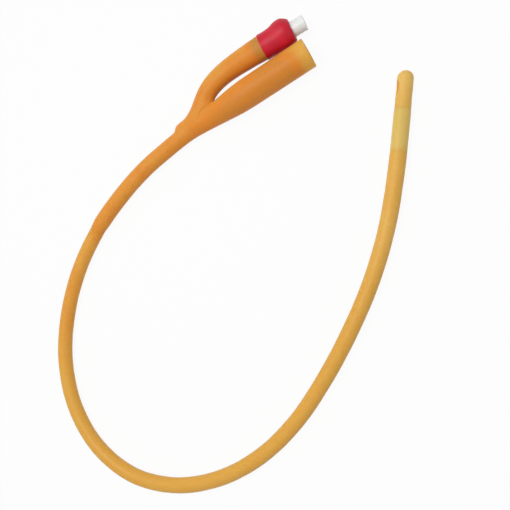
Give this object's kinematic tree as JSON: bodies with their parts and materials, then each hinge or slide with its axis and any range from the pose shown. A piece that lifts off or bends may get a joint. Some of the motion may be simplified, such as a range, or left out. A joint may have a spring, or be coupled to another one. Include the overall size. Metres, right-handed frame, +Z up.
{
  "type": "foley urinary catheter",
  "caption": "Latex two-way catheter with a rounded eyed tip, a flat balloon sleeve, a Y junction with a drain funnel, and an inflation arm with a sprung check valve.",
  "frame": {"origin": "middle of the footprint of the loop, on the surface that the catheter lies on", "axes": "+Z up from the surface, the thin way through the loop; +X along the drain funnel's axis, out of its mouth, which is also the loop's long way; +Y towards the inflation arm's side of the funnel"},
  "size_m": [0.1871, 0.1466, 0.0112],
  "materials": {
    "golden_latex": "dipped natural latex with a thin clear coat, amber and slightly translucent",
    "pale_latex": "thin dipped latex, paler than the shaft",
    "red_rubber": "satin dipped rubber",
    "white_plastic": "moulded, smooth",
    "retainer_plastic": "moulded",
    "natural_plastic": "moulded, slightly milky",
    "seal_rubber": "soft moulded rubber",
    "spring_steel": "drawn wire"
  },
  "bodies": {
    "catheter": {"catheter_body": "golden_latex", "balloon": "pale_latex", "colour_cuff": "red_rubber", "valve_housing": "white_plastic", "valve_retainer": "retainer_plastic", "valve_spring": "spring_steel"},
    "check_valve_stem": {"valve_stem": "natural_plastic", "valve_seal": "seal_rubber"}
  },
  "joints": [
    {"name": "valve_stem_slide", "type": "slide", "parent": "catheter", "child": "check_valve_stem", "axis": [-0.9981, 0.061, 0], "range_m": [0, 0.0015], "stiffness_N_per_m": 300, "springref_m": -0.001, "deforming": ["valve_spring"]}
  ]
}
